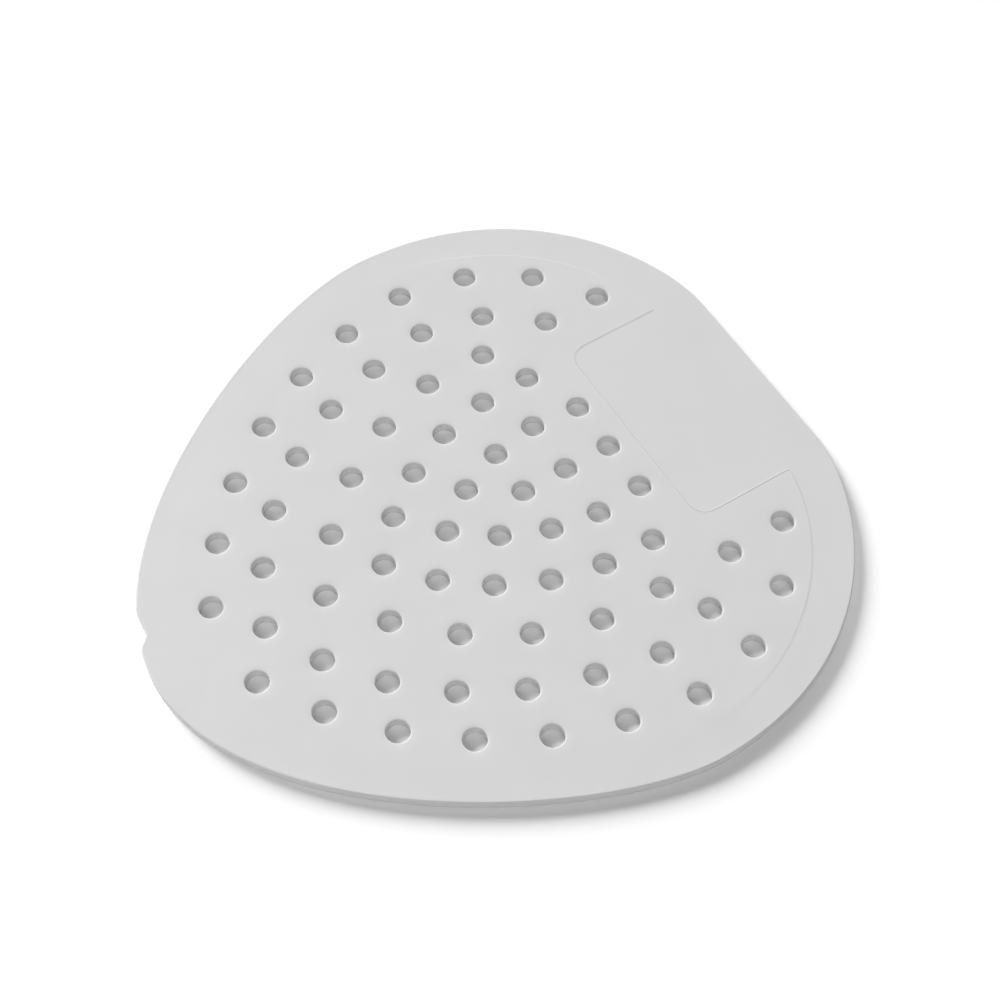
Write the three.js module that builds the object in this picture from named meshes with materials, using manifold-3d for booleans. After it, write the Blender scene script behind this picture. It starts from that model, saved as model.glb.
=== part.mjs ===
// A urinal deodorizer screen: one moulded sheet of soft vinyl, shaped like a rounded shield.
// Five nested rows of drain holes pierce a panel that stands a little above the rim, and
// a bare field for a label is left low at the back edge.
// Millimetres. +Z is up and +Y points to the back edge. The origin is the middle of the
// underside's box, where the sheet lies on its bowl.
import * as THREE from 'three';
import { mergeVertices } from 'three/addons/utils/BufferGeometryUtils.js';
import Module from 'manifold-3d';

// Sheet
const sheetWidth = 178;
const sheetDepth = 181;
const rimThickness = 2.8;
const edgeRound = 0.7;
const edgeRoundSteps = 2;

// Outline: a straight back, full shoulders, and flanks that taper to a blunt front.
// The reaches say how far each curve runs on along its end's direction before it turns.
const widestFromBack = 73.5;
const backStraight = 52;
const shoulderReachBack = 20;
const shoulderReachSide = 52;
const flankReachSide = 31;
const flankReachFront = 47;
const outlineSteps = 28;

// Raised panel, and the label field cut out of its back edge
const panelRise = 0.2;
const panelInsetBack = 12;
const panelInsetSide = 9;
const labelWidth = 61.5;
const labelFromBack = 40.8;
const labelCorner = 4.5;
const labelCornerSteps = 5;

// Drain holes
const holeDiameter = 6.2;
const holeRimRound = 0.6;
const holeSides = 16;
const centreGap = 24.4;

// Rows of holes, outermost first, in the right half. The outer two start beside the label
// field. The inner three start with a short line of holes in front of it, each given by its
// distance from the centre line, or further out from the side, and from the field's inner
// edge. All of them end at the front, along arcs whose bulge is the height of the arc over
// its straight line.
const openRows = [
  {
    start: { besideLabel: 12.3, fromBack: 23.4 },
    turn: { fromSide: 20.4, beforeWidest: 15.1 },
    end: { fromCentre: centreGap / 2, fromFront: 21.5 },
    shoulder: { bulge: 13.5, steps: 4 },
    flank: { bulge: 9.6, steps: 5 },
  },
  {
    start: { besideLabel: 12.5, fromBack: 40.1 },
    turn: { fromSide: 34.7, beforeWidest: 14.8 },
    end: { fromCentre: 0, fromFront: 30.3 },
    shoulder: { bulge: 8.4, steps: 3 },
    flank: { bulge: 10.4, steps: 5 },
  },
];
const closedRows = [
  {
    line: [[0, 7.6], [14.7, 7.6]],
    outerLine: [[59, 13.9], [46.2, 20]],
    start: { fromSide: 46.7, beforeWidest: 5 },
    endFromFront: 47.4,
    flank: { bulge: 7.6, steps: 4 },
  },
  {
    line: [[0, 21], [15.8, 21.1]],
    outerLine: [],
    start: { fromSide: 59.6, beforeWidest: -4.4 },
    endFromFront: 64.3,
    flank: { bulge: 6.1, steps: 4 },
  },
  {
    line: [[0, 34.1]],
    outerLine: [],
    start: { fromSide: 75.5, beforeWidest: 1.4 },
    endFromFront: 83.1,
    flank: { bulge: 1.7, steps: 2 },
  },
];

// A small V-shaped nick in the front edge, left of the centre line
const nickFromCentre = 10.9;
const nickWidth = 10.6;
const nickDepth = 1.9;
const nickTipFromEnd = 3.7;

// How far a cutter runs past the surface that it cuts
const overrun = 1;

// Points closer than this are one point, and this close to the centre line is on it
const pointTolerance = 1e-5;

const sheetMaterial = new THREE.MeshStandardMaterial({ color: 0xd5d5d5, roughness: 0.55, metalness: 0 });

const right = sheetWidth / 2;
const back = sheetDepth / 2;
const front = -sheetDepth / 2;
const widestY = back - widestFromBack;
const panelTop = rimThickness + panelRise;

const point = (x, y) => new THREE.Vector2(x, y);

// The right half of the outline, from the middle of the back edge to the middle of the front
const backEdge = new THREE.LineCurve(point(0, back), point(backStraight / 2, back));
const shoulderEdge = new THREE.CubicBezierCurve(
  point(backStraight / 2, back),
  point(backStraight / 2 + shoulderReachBack, back),
  point(right, widestY + shoulderReachSide),
  point(right, widestY),
);
const flankEdge = new THREE.CubicBezierCurve(
  point(right, widestY),
  point(right, widestY - flankReachSide),
  point(flankReachFront, front),
  point(0, front),
);

// A point of one of these curves, moved square to it towards the middle of the sheet
function insetPoint(curve, t, inset) {
  const along = curve.getTangent(t);
  return curve.getPoint(t).add(point(along.y, -along.x).multiplyScalar(inset));
}

// A right half and its mirror image as one closed run of points
function withMirror(half) {
  const mirrored = half.filter((p) => Math.abs(p.x) > pointTolerance).reverse();
  return [...half, ...mirrored.map((p) => point(-p.x, p.y))];
}

// The whole outline, moved in by one inset at the back that becomes another along the shoulder
function outlinePoints(insetBack, insetSide) {
  const half = [insetPoint(backEdge, 0, insetBack)];
  for (let i = 0; i < outlineSteps; i += 1) {
    const t = i / outlineSteps;
    half.push(insetPoint(shoulderEdge, t, THREE.MathUtils.lerp(insetBack, insetSide, t)));
  }
  for (let i = 0; i < outlineSteps; i += 1) {
    half.push(insetPoint(flankEdge, i / outlineSteps, insetSide));
  }
  half.push(point(0, front + insetSide));
  return withMirror(half);
}

// The label field: a straight inner edge, two round corners, and sides that run off the back
function labelPoints() {
  const inner = back - labelFromBack;
  const centreX = labelWidth / 2 - labelCorner;
  const half = [];
  for (let i = 0; i <= labelCornerSteps; i += 1) {
    const turn = (i / labelCornerSteps) * (Math.PI / 2);
    half.push(point(
      centreX + labelCorner * Math.sin(turn),
      inner + labelCorner - labelCorner * Math.cos(turn),
    ));
  }
  half.push(point(labelWidth / 2, back));
  return withMirror(half);
}

// Points spaced evenly along the arc from a to b, which bulges away from the middle
function arcPoints(a, b, { bulge, steps }) {
  const chord = b.clone().sub(a);
  const length = chord.length();
  const radius = (length * length / 4 + bulge * bulge) / (2 * bulge);
  const outward = point(-chord.y, chord.x).divideScalar(length);
  const centre = a.clone().add(b).multiplyScalar(0.5).addScaledVector(outward, bulge - radius);
  const first = a.clone().sub(centre).angle();
  const turn = 2 * Math.asin(length / (2 * radius));
  const points = [];
  for (let i = 0; i <= steps; i += 1) {
    const angle = first - turn * (i / steps);
    points.push(centre.clone().add(point(Math.cos(angle), Math.sin(angle)).multiplyScalar(radius)));
  }
  return points;
}

function openRow({ start, turn, end, shoulder, flank }) {
  const first = point(labelWidth / 2 + start.besideLabel, back - start.fromBack);
  const middle = point(right - turn.fromSide, widestY - turn.beforeWidest);
  const last = point(end.fromCentre, front + end.fromFront);
  return [...arcPoints(first, middle, shoulder), ...arcPoints(middle, last, flank).slice(1)];
}

function closedRow({ line, outerLine, start, endFromFront, flank }) {
  const labelInner = back - labelFromBack;
  const first = point(right - start.fromSide, widestY - start.beforeWidest);
  const last = point(0, front + endFromFront);
  const inner = line.map(([fromCentre, beforeLabel]) => point(fromCentre, labelInner - beforeLabel));
  const outer = outerLine.map(([fromSide, beforeLabel]) => point(right - fromSide, labelInner - beforeLabel));
  return [...inner, ...outer, ...arcPoints(first, last, flank)];
}

// Every hole's centre. A hole on the centre line is its own mirror image.
function holeCentres() {
  const rows = [...openRows.map(openRow), ...closedRows.map(closedRow)];
  return rows.flatMap((row) => withMirror(row));
}

const wasm = await Module();
wasm.setup();

function solidOf(geometry) {
  const plain = geometry.clone();
  plain.deleteAttribute('normal');
  plain.deleteAttribute('uv');
  const merged = mergeVertices(plain, pointTolerance);
  return new wasm.Manifold(new wasm.Mesh({
    numProp: 3,
    vertProperties: new Float32Array(merged.attributes.position.array),
    triVerts: new Uint32Array(merged.index.array),
  }));
}

function geometryOf(solid) {
  const mesh = solid.getMesh();
  const geometry = new THREE.BufferGeometry();
  geometry.setAttribute('position', new THREE.BufferAttribute(mesh.vertProperties, 3));
  geometry.setIndex(new THREE.BufferAttribute(mesh.triVerts, 1));
  geometry.computeVertexNormals();
  return geometry;
}

// A flat slab between two heights, with its upper and lower edges rounded inside its outline
function slab(points, bottom, top, round) {
  const geometry = new THREE.ExtrudeGeometry(new THREE.Shape(points), {
    depth: top - bottom - 2 * round,
    bevelEnabled: round > 0,
    bevelThickness: round,
    bevelSize: round,
    bevelOffset: -round,
    bevelSegments: edgeRoundSteps,
  });
  geometry.translate(0, 0, bottom + round);
  return solidOf(geometry);
}

// The space of one hole: a straight bore with its upper rim eased
function holeCutter() {
  const bore = holeDiameter / 2;
  const profile = [
    point(0, -overrun),
    point(bore, -overrun),
    point(bore, panelTop - holeRimRound),
    point(bore + holeRimRound, panelTop),
    point(bore + holeRimRound, panelTop + overrun),
    point(0, panelTop + overrun),
  ];
  const geometry = new THREE.LatheGeometry(profile, holeSides);
  geometry.rotateX(Math.PI / 2);
  return solidOf(geometry);
}

// The point of the flank that lies this far to the left of the centre line, found by halving
function leftFlankPoint(fromCentre) {
  let outer = 0;
  let inner = 1;
  while (inner - outer > pointTolerance) {
    const middle = (outer + inner) / 2;
    if (flankEdge.getPoint(middle).x > fromCentre) outer = middle;
    else inner = middle;
  }
  return point(-fromCentre, flankEdge.getPoint(inner).y);
}

function nickCutter() {
  const near = leftFlankPoint(nickFromCentre);
  const far = leftFlankPoint(nickFromCentre + nickWidth);
  const along = far.clone().sub(near).normalize();
  const inward = point(along.y, -along.x);
  const tip = near.clone().addScaledVector(along, nickTipFromEnd).addScaledVector(inward, nickDepth);
  const outside = [far, near].map((p) => p.clone().addScaledVector(inward, -overrun));
  return slab([near, tip, far, ...outside], -overrun, panelTop + overrun, 0);
}

const rim = slab(outlinePoints(0, 0), 0, rimThickness, edgeRound);
const label = slab(labelPoints(), 0, panelTop + overrun, 0);
const panelOutline = outlinePoints(panelInsetBack, panelInsetSide);
const panel = slab(panelOutline, rimThickness / 2, panelTop, 0).subtract(label);
const hole = holeCutter();
const holes = wasm.Manifold.union(holeCentres().map(({ x, y }) => hole.translate([x, y, 0])));
const sheet = rim.add(panel).subtract(holes).subtract(nickCutter());

const screen = new THREE.Mesh(geometryOf(sheet), sheetMaterial);
screen.name = 'screen';

const group = new THREE.Group();
group.add(screen);

export default group;
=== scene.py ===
"""A moulded vinyl urinal deodorizer screen, lying on a plain white floor in soft studio light."""
import math
from typing import NamedTuple

import bmesh
import bpy
import numpy as np
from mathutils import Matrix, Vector
from mathutils.geometry import delaunay_2d_cdt


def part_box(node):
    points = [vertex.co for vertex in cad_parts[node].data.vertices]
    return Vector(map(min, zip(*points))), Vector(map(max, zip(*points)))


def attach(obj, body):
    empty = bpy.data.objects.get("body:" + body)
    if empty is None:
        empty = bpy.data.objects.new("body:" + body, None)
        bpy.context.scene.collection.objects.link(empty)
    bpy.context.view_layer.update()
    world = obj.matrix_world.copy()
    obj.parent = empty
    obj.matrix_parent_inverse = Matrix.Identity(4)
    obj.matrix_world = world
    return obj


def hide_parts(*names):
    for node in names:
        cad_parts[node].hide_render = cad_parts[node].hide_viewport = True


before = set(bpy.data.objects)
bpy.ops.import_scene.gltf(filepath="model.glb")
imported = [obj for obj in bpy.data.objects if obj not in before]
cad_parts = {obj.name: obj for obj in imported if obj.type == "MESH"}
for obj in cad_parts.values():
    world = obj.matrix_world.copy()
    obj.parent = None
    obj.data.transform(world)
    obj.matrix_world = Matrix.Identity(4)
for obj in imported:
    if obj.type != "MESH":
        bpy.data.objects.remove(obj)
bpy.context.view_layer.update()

# Every size below is in millimetres unless it says otherwise
MM = 0.001
low_corner, high_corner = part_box("screen")
RIGHT = high_corner.x / MM
BACK = high_corner.y / MM
FRONT = low_corner.y / MM
TOP = high_corner.z / MM

# Outline
WIDEST_Y = BACK - 73.5
BACK_STRAIGHT_HALF = 26
SHOULDER_REACH_BACK = 20
SHOULDER_REACH_SIDE = 52
FLANK_REACH_SIDE = 31
FLANK_REACH_FRONT = 47
CURVE_POINTS = 200
EDGE_ROUND_TOP = 0.45
EDGE_ROUND_BOTTOM = 0.45
EDGE_STEPS = 6
EDGE_SPACING = 0.5

# Nick in the front edge, as distances to the left of the centre line and in from the edge
NICK_NEAR = 10.9
NICK_FAR = 21.5
NICK_TIP = 14.4
NICK_DEPTH = 1.9
NICK_CORNER_EASE = 0.5

# Raised panel and label field
PANEL_RISE = 0.04
PANEL_INSET_BACK = 12
PANEL_INSET_SIDE = 9
PANEL_CORNER_EASE = 0.9
LABEL_HALF = 30.75
LABEL_FROM_BACK = 40.8
LABEL_INNER = BACK - LABEL_FROM_BACK
LABEL_CORNER = 4.5
LABEL_CORNER_POINTS = 12

# Fall from the panel to the rim, which widens towards the front
STEP_WIDTH = 0.4
STEP_WIDTH_FRONT = 5.3
STEP_SOFTENS_FROM = 50
STEP_SOFTENS_TO = -10
STEP_PARTS = 6
STEP_SPACING = 0.4

# Fine groove along the fall, which fades towards the front, and sooner on the left
GROOVE_WIDTH = 0.13
GROOVE_DEPTH = 0.15
GROOVE_FADES_FROM = 65
GROOVE_FADES_TO = 40
GROOVE_ENDS_SOONER = 30
GROOVE_PARTS = 8

# Shape of one hole
BORE = 3.05
RIM_ROUND = 0.32
DISH_REACH = 1.7
DISH_DROP = 0.07
BORE_ROUND_BOTTOM = 0.25
DISH_STEPS = 4
RIM_STEPS = 5
FOOT_STEPS = 3
HOLE_SIDES = 48


class OpenRow(NamedTuple):
    """A row of holes that starts beside the label field, turns at the side and ends at the front. Its places
    are pairs of distances: start from the field and the back edge, turn from the side and before the widest
    place, end from the centre line and the front. An arc is its bulge and its number of steps."""

    start: tuple
    turn: tuple
    end: tuple
    shoulder: tuple
    flank: tuple


class ClosedRow(NamedTuple):
    """A row of holes in front of the label field: a line of holes there, then an arc to the front. The line's
    holes are pairs of distances, from the centre line or further out from the side, and before the field.
    The arc starts so far from the side and before the widest place."""

    line: list
    outer_line: list
    start: tuple
    end_from_front: float
    flank: tuple


# Rows of holes in the right half, from the outermost in
OPEN_ROWS = [
    OpenRow(start=(12.3, 23.4), turn=(20.4, 15.1), end=(12.2, 21.5), shoulder=(13.5, 4), flank=(9.6, 5)),
    OpenRow(start=(12.5, 40.1), turn=(34.7, 14.8), end=(0, 30.3), shoulder=(8.4, 3), flank=(10.4, 5)),
]
CLOSED_ROWS = [
    ClosedRow(
        line=[(0, 7.6), (14.7, 7.6)],
        outer_line=[(59, 13.9), (46.2, 20)],
        start=(46.7, 5),
        end_from_front=47.4,
        flank=(7.6, 4),
    ),
    ClosedRow(
        line=[(0, 21), (15.8, 21.1)],
        outer_line=[],
        start=(59.6, -4.4),
        end_from_front=64.3,
        flank=(6.1, 4),
    ),
    ClosedRow(
        line=[(0, 34.1)],
        outer_line=[],
        start=(75.5, 1.4),
        end_from_front=83.1,
        flank=(1.7, 2),
    ),
]

# Points closer than the first are one point. The second is how finely the net tells points apart.
SAME_POINT = 1e-4
NET_TOLERANCE = 1e-7

# How many widths of its bell curve a mean takes in on each side, and how many parts a net is sorted in
BELL_REACH = 3
NET_PARTS = 24


def bezier(points):
    """Cubic curve through four control points: at each t from 0 to 1, without the last, they are weighted
    by (1-t)^3, 3(1-t)^2 t, 3(1-t) t^2 and t^3."""
    t = np.arange(CURVE_POINTS)[:, None] / CURVE_POINTS
    a, b, c, d = np.array(points, float)
    return (1 - t) ** 3 * a + 3 * (1 - t) ** 2 * t * b + 3 * (1 - t) * t ** 2 * c + t ** 3 * d


def turned_right(run):
    """Unit vectors square to each run, a quarter turn clockwise from it."""
    length = np.linalg.norm(run, axis=1, keepdims=True)
    return np.column_stack([run[:, 1], -run[:, 0]]) / length


def mirrored(half):
    """A loop from its right half, which runs from the back to the front: the half, then its mirror image
    backwards, then all of it turned round so that it goes anticlockwise."""
    left = half[::-1] * (-1, 1)
    loop = np.vstack([half, left])
    repeat = np.all(np.isclose(loop, np.roll(loop, 1, axis=0)), axis=1)
    return loop[~repeat][::-1]


def half_outline(inset_back, inset_side):
    """Right half of the outline, moved in along its normals: straight back, then two cubic curves that meet
    at the widest place. The inset goes evenly from one value to the other along the shoulder."""
    straight = np.array([[0, BACK]], float)
    shoulder = bezier([
        (BACK_STRAIGHT_HALF, BACK),
        (BACK_STRAIGHT_HALF + SHOULDER_REACH_BACK, BACK),
        (RIGHT, WIDEST_Y + SHOULDER_REACH_SIDE),
        (RIGHT, WIDEST_Y),
    ])
    flank = bezier([
        (RIGHT, WIDEST_Y),
        (RIGHT, WIDEST_Y - FLANK_REACH_SIDE),
        (FLANK_REACH_FRONT, FRONT),
        (0, FRONT),
    ])
    half = np.vstack([straight, shoulder, flank, [[0, FRONT]]])
    insets = np.concatenate([
        [inset_back],
        np.linspace(inset_back, inset_side, len(shoulder)),
        np.full(len(flank) + 1, inset_side),
    ])
    run = np.gradient(half, axis=0)
    run[0] = (1, 0)
    run[-1] = (-1, 0)
    return half + turned_right(run) * insets[:, None]


def evenly(loop, spacing):
    """The loop with its points spaced evenly: each lies at an equal share of the length round it."""
    closed = np.vstack([loop, loop[:1]])
    run = np.concatenate([[0], np.cumsum(np.linalg.norm(np.diff(closed, axis=0), axis=1))])
    count = round(run[-1] / spacing)
    places = np.arange(count) * run[-1] / count
    return np.column_stack([np.interp(places, run, closed[:, k]) for k in range(2)])


def eased(loop, spacing, ease):
    """The even loop with its corners eased: each point becomes the mean of its neighbours, weighted by a
    bell curve whose width is the ease."""
    width = ease / spacing
    reach = math.ceil(BELL_REACH * width)
    shifts = np.arange(-reach, reach + 1)
    weights = np.exp(-((shifts / width) ** 2) / 2)
    stack = np.stack([np.roll(loop, shift, axis=0) for shift in shifts])
    return np.tensordot(weights / weights.sum(), stack, 1)


def eased_share(share):
    """A share from 0 to 1, eased at both ends: s^2 (3 - 2s)."""
    return share ** 2 * (3 - 2 * share)


def loop_normals(loop):
    """Outward unit normals of an anticlockwise loop, square to the run from the point before each one to
    the point after it."""
    return turned_right(np.roll(loop, -1, axis=0) - np.roll(loop, 1, axis=0))


def outline_loop():
    """The outer edge: the whole outline, with the stretch between the nick's ends swapped for a V."""
    loop = mirrored(half_outline(0, 0))
    in_nick = (loop[:, 1] < 0) & (loop[:, 0] < -NICK_NEAR) & (loop[:, 0] > -NICK_FAR)
    places = np.flatnonzero(in_nick)
    share = (NICK_TIP - NICK_NEAR) / (NICK_FAR - NICK_NEAR)
    near, far = loop[in_nick][[-1, 0]]
    inward = -turned_right((near - far)[None])[0]
    tip = near + (far - near) * share + inward * NICK_DEPTH
    loop = np.vstack([loop[:places[0]], [far, tip, near], loop[places[-1] + 1:]])
    return eased(evenly(loop, EDGE_SPACING), EDGE_SPACING, NICK_CORNER_EASE)


def panel_loop():
    """Edge of the raised panel: the outline moved in, with the label field cut out of its back. The field
    has a straight inner edge, two round corners and sides square to it."""
    half = half_outline(PANEL_INSET_BACK, PANEL_INSET_SIDE)
    half = half[half[:, 0] > 0]
    shoulder = half[half[:, 1] > WIDEST_Y]
    beside = half[(half[:, 0] > LABEL_HALF) | (half[:, 1] < 0)]
    side_end = (LABEL_HALF, np.interp(LABEL_HALF, *shoulder.T))
    turn = np.linspace(0, math.pi / 2, LABEL_CORNER_POINTS)
    centre = np.array([LABEL_HALF - LABEL_CORNER, LABEL_INNER + LABEL_CORNER])
    corner = centre + LABEL_CORNER * np.column_stack([np.sin(turn), -np.cos(turn)])
    middle_back, middle_front = (0, LABEL_INNER), (0, FRONT + PANEL_INSET_SIDE)
    whole = np.vstack([middle_back, corner, side_end, beside, middle_front])
    return eased(evenly(mirrored(whole), STEP_SPACING), STEP_SPACING, PANEL_CORNER_EASE)


def arc(start, end, bulge, steps):
    """Points at equal angles on the arc from start to end, which bulges away from the middle: its radius is
    (chord^2/4 + bulge^2) / (2 bulge)."""
    start, end = np.array([start, end], float)
    chord = end - start
    length = np.linalg.norm(chord)
    radius = (length ** 2 / 4 + bulge ** 2) / (2 * bulge)
    away = np.array([-chord[1], chord[0]]) / length
    centre = (start + end) / 2 + away * (bulge - radius)
    first = math.atan2(*(start - centre)[::-1])
    turn = 2 * math.asin(length / (2 * radius))
    angles = first - turn * np.arange(steps + 1) / steps
    return centre + radius * np.column_stack([np.cos(angles), np.sin(angles)])


def open_row(row):
    """Hole centres of an outer row: an arc over the shoulder, then one along the flank."""
    start = (LABEL_HALF + row.start[0], BACK - row.start[1])
    turn = (RIGHT - row.turn[0], WIDEST_Y - row.turn[1])
    end = (row.end[0], FRONT + row.end[1])
    return np.vstack([arc(start, turn, *row.shoulder), arc(turn, end, *row.flank)[1:]])


def closed_row(row):
    """Hole centres of an inner row: its line of holes, then its arc."""
    line = [(from_centre, LABEL_INNER - before) for from_centre, before in row.line]
    line += [(RIGHT - from_side, LABEL_INNER - before) for from_side, before in row.outer_line]
    start = (RIGHT - row.start[0], WIDEST_Y - row.start[1])
    return np.vstack([line, arc(start, (0, FRONT + row.end_from_front), *row.flank)])


def hole_centres():
    """Centres of all the drain holes: the rows of the right half and their mirror images."""
    right = np.vstack([open_row(row) for row in OPEN_ROWS] + [closed_row(row) for row in CLOSED_ROWS])
    on_centre = np.abs(right[:, 0]) < SAME_POINT
    return np.vstack([right, right[~on_centre] * (-1, 1)])


def quarter(radius, steps):
    """Sine and cosine of even angles over a quarter turn, times a radius."""
    angles = np.linspace(0, math.pi / 2, steps + 1)
    return radius * np.sin(angles), radius * np.cos(angles)


def hole_profile():
    """Distance from a hole's axis and height, from the flat panel down to the underside: a shallow dish that
    falls as a cosine, a quarter round at the rim, the straight bore and a small quarter round below."""
    share = np.linspace(0, 1, DISH_STEPS + 1)
    dish_out = BORE + RIM_ROUND + DISH_REACH * (1 - share)
    dish_up = TOP - DISH_DROP * (1 - np.cos(share * math.pi / 2))
    sine, cosine = quarter(RIM_ROUND, RIM_STEPS)
    rim_out = BORE + RIM_ROUND - sine
    rim_up = TOP - DISH_DROP - RIM_ROUND + cosine
    sine, cosine = quarter(BORE_ROUND_BOTTOM, FOOT_STEPS)
    foot_out = BORE + BORE_ROUND_BOTTOM - cosine
    foot_up = BORE_ROUND_BOTTOM - sine
    out = np.concatenate([dish_out, rim_out[1:], foot_out])
    up = np.concatenate([dish_up, rim_up[1:], foot_up])
    return out, up


def edge_profile():
    """Offset from the outline and height, from the flat rim down to the underside: a quarter round, the
    straight side and another quarter round."""
    sine, cosine = quarter(EDGE_ROUND_TOP, EDGE_STEPS)
    top_out, top_up = sine - EDGE_ROUND_TOP, TOP - PANEL_RISE - EDGE_ROUND_TOP + cosine
    sine, cosine = quarter(EDGE_ROUND_BOTTOM, EDGE_STEPS)
    foot_out, foot_up = cosine - EDGE_ROUND_BOTTOM, EDGE_ROUND_BOTTOM - sine
    return np.concatenate([top_out, foot_out]), np.concatenate([top_up, foot_up])


def step_profile(path):
    """Offsets from the panel's edge and heights: a groove whose depth follows sin^2 over its width, then an
    eased fall to the rim. Round the label field both are crisp. Elsewhere the fall widens and the groove
    fades towards the front."""
    x, y = path.T
    at_label = (np.abs(x) < LABEL_HALF + STEP_WIDTH) & (y > 0)
    soften = np.clip((STEP_SOFTENS_FROM - y) / (STEP_SOFTENS_FROM - STEP_SOFTENS_TO), 0, 1)
    fades_from = np.where(x < 0, GROOVE_FADES_FROM + GROOVE_ENDS_SOONER, GROOVE_FADES_FROM)
    fade = np.clip((fades_from - y) / (GROOVE_FADES_FROM - GROOVE_FADES_TO), 0, 1)
    soften, fade = (np.where(at_label, 0, eased_share(share)) for share in (soften, fade))
    widths = STEP_WIDTH + (STEP_WIDTH_FRONT - STEP_WIDTH) * soften
    across = np.linspace(0, 1, GROOVE_PARTS + 1)
    fall = np.linspace(0, 1, STEP_PARTS + 1)[1:]
    groove_out = np.broadcast_to(GROOVE_WIDTH * across, (len(path), len(across)))
    groove_down = GROOVE_DEPTH * (1 - fade)[:, None] * np.sin(math.pi * across) ** 2
    fall_out = GROOVE_WIDTH + widths[:, None] * fall
    fall_down = np.broadcast_to(PANEL_RISE * eased_share(fall), (len(path), len(fall)))
    offsets = np.hstack([groove_out, fall_out]) - GROOVE_WIDTH - STEP_WIDTH / 2
    return offsets, TOP - np.hstack([groove_down, fall_down])


def swept(loop, offsets, heights):
    """A profile carried round a loop: point (i, j) is loop point i moved out along its normal by offset j,
    at height j. The offsets and heights may differ from point to point."""
    whole = (len(loop), np.shape(offsets)[-1])
    offsets, heights = np.broadcast_to(offsets, whole), np.broadcast_to(heights, whole)
    flat = loop[:, None] + loop_normals(loop)[:, None] * offsets[..., None]
    return np.dstack([flat, heights])


def lathed(centres, out, up):
    """A profile turned round each centre: point (h, i, j) is centre h plus distance j along spoke i, at
    height j."""
    angles = np.arange(HOLE_SIDES) * 2 * math.pi / HOLE_SIDES
    spokes = np.column_stack([np.cos(angles), np.sin(angles)])
    flat = centres[:, None, None] + spokes[None, :, None] * out[:, None]
    heights = np.broadcast_to(up[:, None], flat.shape[:-1] + (1,))
    return np.concatenate([flat, heights], -1)


def ring_faces(rings, around, along):
    """Four-sided faces of closed bands: point (i, j) of a band joins i+1, which wraps round, and j+1."""
    i, j = np.meshgrid(np.arange(around), np.arange(along - 1), indexing="ij")
    here = i * along + j
    after = (i + 1) % around * along + j
    band = np.stack([here, after, after + 1, here + 1], -1).reshape(-1, 4)
    first_points = np.arange(rings) * around * along
    return (band + first_points[:, None, None]).reshape(-1, 4)


def inside(places, starts, ends):
    """Whether each place lies inside the loops: a ray from it along +X crosses an odd number of edges."""
    x, y = places.T[:, :, None]
    (start_x, start_y), (end_x, end_y) = starts.T, ends.T
    spans = (start_y > y) != (end_y > y)
    climb = np.where(start_y == end_y, 1, end_y - start_y)
    ahead = x < start_x + (y - start_y) * (end_x - start_x) / climb
    return (spans & ahead).sum(axis=1) % 2 == 1


def filled(loops, height):
    """Triangles that fill the flat region between closed loops: a Delaunay net of all their points that
    keeps the triangles whose middles lie inside the outer loop and outside the others."""
    points = np.vstack(loops)
    counts = [len(loop) for loop in loops]
    firsts = np.repeat(np.cumsum([0] + counts[:-1]), counts)
    following = np.concatenate([np.roll(np.arange(count), -1) for count in counts])
    edges = np.column_stack([np.arange(len(points)), firsts + following])
    whole_hull = 0
    net = delaunay_2d_cdt(points.tolist(), edges.tolist(), [], whole_hull, NET_TOLERANCE)
    corners, faces = np.array(net[0]), np.array(net[2])
    starts, ends = points[edges.T]
    parts = np.array_split(corners[faces].mean(axis=1), NET_PARTS)
    kept = np.concatenate([inside(part, starts, ends) for part in parts])
    return np.column_stack([corners, np.full(len(corners), height)]), faces[kept]


def screen_mesh():
    """The whole screen as one closed mesh: swept edge, swept step, dished and rounded holes, and flat faces
    between them that share their points. The bands are shaded smooth and the flats flat."""
    edge = swept(outline_loop(), *edge_profile())
    path = panel_loop()
    step = swept(path, *step_profile(path))
    holes = lathed(hole_centres(), *hole_profile())
    bands = [(band.reshape(-1, 3), ring_faces(*band.shape[:3])) for band in (edge[None], step[None], holes)]
    flats = [
        filled([step[:, 0, :2], *holes[:, :, 0, :2]], TOP),
        filled([edge[:, 0, :2], step[:, -1, :2]], TOP - PANEL_RISE),
        filled([edge[:, -1, :2], *holes[:, :, -1, :2]], 0),
    ]
    faces = []
    start = 0
    for corners, patch in bands + flats:
        faces += (patch + start).tolist()
        start += len(corners)
    mesh = bpy.data.meshes.new("vinyl_screen")
    mesh.from_pydata(np.vstack([corners for corners, _ in bands + flats]) * MM, [], faces)
    smooth = np.arange(len(faces)) < sum(len(patch) for _, patch in bands)
    mesh.polygons.foreach_set("use_smooth", smooth)
    joined = bmesh.new()
    joined.from_mesh(mesh)
    bmesh.ops.remove_doubles(joined, verts=joined.verts, dist=SAME_POINT * MM)
    bmesh.ops.recalc_face_normals(joined, faces=joined.faces)
    joined.to_mesh(mesh)
    joined.free()
    return mesh


class Value:
    """One output socket of a shader tree. Arithmetic on it adds Math nodes to the tree."""

    def __init__(self, tree, socket):
        self.tree = tree
        self.socket = socket

    def math(self, operation, first, second):
        return node(self.tree, "ShaderNodeMath", {"operation": operation}, {0: first, 1: second})

    def __add__(self, other):
        return self.math("ADD", self, other)

    def __radd__(self, other):
        return self.math("ADD", other, self)

    def __mul__(self, other):
        return self.math("MULTIPLY", self, other)

    def __rmul__(self, other):
        return self.math("MULTIPLY", other, self)

    def or_larger(self, other):
        return self.math("MAXIMUM", self, other)


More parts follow.
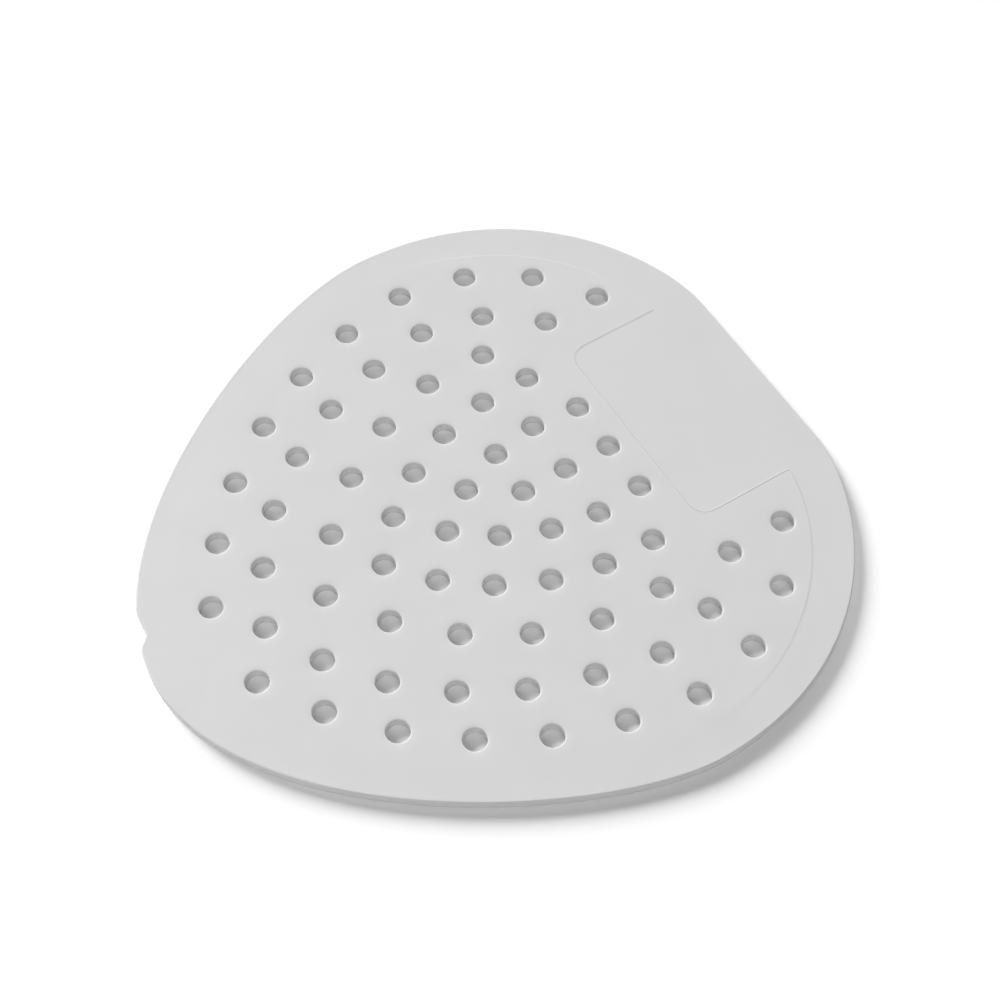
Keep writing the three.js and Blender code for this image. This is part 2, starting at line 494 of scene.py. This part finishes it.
def node(tree, kind, settings=None, inputs=None, output=0):
    """Adds a node of a type, sets its settings, then gives its sockets their values or links. The closing
    output node has no output of its own."""
    made = tree.nodes.new(kind)
    for name, setting in (settings or {}).items():
        setattr(made, name, setting)
    for name, value in (inputs or {}).items():
        if isinstance(value, Value):
            tree.links.new(value.socket, made.inputs[name])
        else:
            made.inputs[name].default_value = value
    return Value(tree, made.outputs[output]) if made.outputs else None


def blend(tree, factor, first, second):
    """A mix of two greys, each given as its lightness."""
    greys = [(grey, grey, grey, 1) for grey in (first, second)]
    sockets = {"Factor": factor, "A": greys[0], "B": greys[1]}
    colour_result = 2
    return node(tree, "ShaderNodeMix", {"data_type": "RGBA"}, sockets, colour_result)


def new_material(name):
    """An empty node material and its tree."""
    material = bpy.data.materials.new(name)
    material.use_nodes = True
    material.node_tree.nodes.clear()
    return material, material.node_tree


# Vinyl: how light it is between its darkest and lightest mottle, how rough, and how deep its grain.
# The scales are waves to a metre.
VINYL_DARK = 0.61
VINYL_LIGHT = 0.65
VINYL_ROUGHNESS = 0.44
VINYL_ROUGHNESS_SPREAD = 0.16
VINYL_SPECULAR = 0.4
MOTTLE = {"Scale": 55, "Detail": 3, "Roughness": 0.6}
GRAIN = {"Scale": 1900, "Detail": 2, "Roughness": 0.55}
GRAIN_HEIGHT = 0.02
GRAIN_STRENGTH = 0.25


def vinyl_material():
    """Pale grey soft vinyl: satin, with a faint mottle in its colour and sheen and a fine moulded grain."""
    material, tree = new_material("soft_vinyl")
    place = node(tree, "ShaderNodeTexCoord", output="Object")
    mottle = node(tree, "ShaderNodeTexNoise", None, {"Vector": place, **MOTTLE})
    fine = node(tree, "ShaderNodeTexNoise", None, {"Vector": place, **GRAIN})
    grain = node(tree, "ShaderNodeBump", None, {
        "Height": fine,
        "Strength": GRAIN_STRENGTH,
        "Distance": GRAIN_HEIGHT * MM,
    })
    surface = node(tree, "ShaderNodeBsdfPrincipled", None, {
        "Base Color": blend(tree, mottle, VINYL_DARK, VINYL_LIGHT),
        "Roughness": VINYL_ROUGHNESS + VINYL_ROUGHNESS_SPREAD * mottle,
        "Specular IOR Level": VINYL_SPECULAR,
        "Normal": grain,
    })
    node(tree, "ShaderNodeOutputMaterial", None, {"Surface": surface})
    return material


def make_screen():
    """The visible screen, which stands for the solid of the same name."""
    piece = bpy.data.objects.new("vinyl_screen", screen_mesh())
    bpy.context.scene.collection.objects.link(piece)
    piece.data.materials.append(vinyl_material())
    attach(piece, "root")
    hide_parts("screen")


# Floor: half its side, and how light it is to the screen and to the eye
FLOOR_HALF = 3000
FLOOR_COLOUR = 0.9
FLOOR_COLOUR_SEEN = 1.0


def floor_material():
    """Matte white paper. What the camera, glass and metal see of it is a little whiter than what lights the
    screen, so that it shows as white around the shadow."""
    material, tree = new_material("white_paper")
    camera_ray = node(tree, "ShaderNodeLightPath", output="Is Camera Ray")
    glossy_ray = node(tree, "ShaderNodeLightPath", output="Is Glossy Ray")
    transmission_ray = node(tree, "ShaderNodeLightPath", output="Is Transmission Ray")
    seen = camera_ray.or_larger(glossy_ray).or_larger(transmission_ray)
    colour = blend(tree, seen, FLOOR_COLOUR, FLOOR_COLOUR_SEEN)
    surface = node(tree, "ShaderNodeBsdfDiffuse", None, {"Color": colour})
    node(tree, "ShaderNodeOutputMaterial", None, {"Surface": surface})
    return material


def make_floor():
    """A wide flat sheet of paper under the screen."""
    signs = ((-1, -1), (1, -1), (1, 1), (-1, 1))
    corners = [(x * FLOOR_HALF * MM, y * FLOOR_HALF * MM, 0) for x, y in signs]
    mesh = bpy.data.meshes.new("paper_floor")
    mesh.from_pydata(corners, [], [(0, 1, 2, 3)])
    floor = bpy.data.objects.new("paper_floor", mesh)
    bpy.context.scene.collection.objects.link(floor)
    mesh.materials.append(floor_material())


# Camera: the place it looks at, and where it stands from there, turned from +X towards -Y and raised
CAMERA_TARGET = np.array([-0.86, 8.9, 3.0])
CAMERA_TURN = math.radians(31.99)
CAMERA_RAISE = math.radians(57.81)
CAMERA_DISTANCE = 486.8
CAMERA_LENS = 67.83
SENSOR = 36
NEAREST_SEEN = 10
FARTHEST_SEEN = 20000


def direction(turn, raised):
    """Unit vector that points from the screen outwards at a turn from +X towards -Y and a raise."""
    return np.array([
        math.cos(raised) * math.cos(turn),
        -math.cos(raised) * math.sin(turn),
        math.sin(raised),
    ])


def place_towards(thing, location, outwards):
    """Puts a camera or lamp in the scene at a place, so that it looks back along a direction."""
    thing.location = location
    thing.rotation_euler = Vector(-outwards).to_track_quat("-Z", "Y").to_euler()
    bpy.context.scene.collection.objects.link(thing)


def make_camera():
    """The photograph's camera: level, with no shift and no depth of field."""
    outwards = direction(CAMERA_TURN, CAMERA_RAISE)
    data = bpy.data.cameras.new("camera")
    data.lens = CAMERA_LENS
    data.sensor_width = SENSOR
    data.clip_start = NEAREST_SEEN * MM
    data.clip_end = FARTHEST_SEEN * MM
    camera = bpy.data.objects.new("camera", data)
    place_towards(camera, (CAMERA_TARGET + outwards * CAMERA_DISTANCE) * MM, outwards)
    bpy.context.scene.camera = camera


def from_bearing(bearing, raised):
    """Unit vector towards a light. Its bearing in degrees is measured anticlockwise from the picture's
    right, seen from above."""
    return direction(CAMERA_TURN - math.pi / 2 - math.radians(bearing), raised)


def add_sun(name, bearing, raised, strength, spread):
    """A soft distant light, with its angles in degrees. Its strength is what it adds to a white floor."""
    raised = math.radians(raised)
    data = bpy.data.lights.new(name, "SUN")
    data.energy = strength * math.pi / math.sin(raised)
    data.angle = math.radians(spread)
    place_towards(bpy.data.objects.new(name, data), (0, 0, 0), from_bearing(bearing, raised))


def add_lamp(name, bearing, reach, height, size, strength):
    """A square lamp that faces the screen's middle, so that it lights the near side more. Its power is what
    adds its strength to a white floor there: pi^2 d^2 times the strength, over sin(raise)."""
    raised = math.atan2(height, reach)
    distance = math.hypot(reach, height) * MM
    outwards = from_bearing(bearing, raised)
    data = bpy.data.lights.new(name, "AREA")
    data.size = size * MM
    data.energy = strength * math.pi ** 2 * distance ** 2 / math.sin(raised)
    place_towards(bpy.data.objects.new(name, data), outwards * distance, outwards)


def make_light():
    """A low soft key from the back left, a lower weak one from the back, a broad fill from the front, a
    weak lamp near the left side and an even white room."""
    add_sun("key", bearing=132, raised=26, strength=0.56, spread=28)
    add_sun("back_fill", bearing=75, raised=18, strength=0.13, spread=40)
    add_sun("front_fill", bearing=280, raised=36, strength=0.22, spread=50)
    add_lamp("left_lamp", bearing=200, reach=260, height=150, size=200, strength=0.04)
    world = bpy.data.worlds.new("white_room")
    world.use_nodes = True
    background = world.node_tree.nodes["Background"].inputs
    background["Color"].default_value = (1, 1, 1, 1)
    background["Strength"].default_value = 0.1
    bpy.context.scene.world = world


make_screen()
make_floor()
make_camera()
make_light()

view = bpy.context.scene.view_settings
view.view_transform = "Standard"
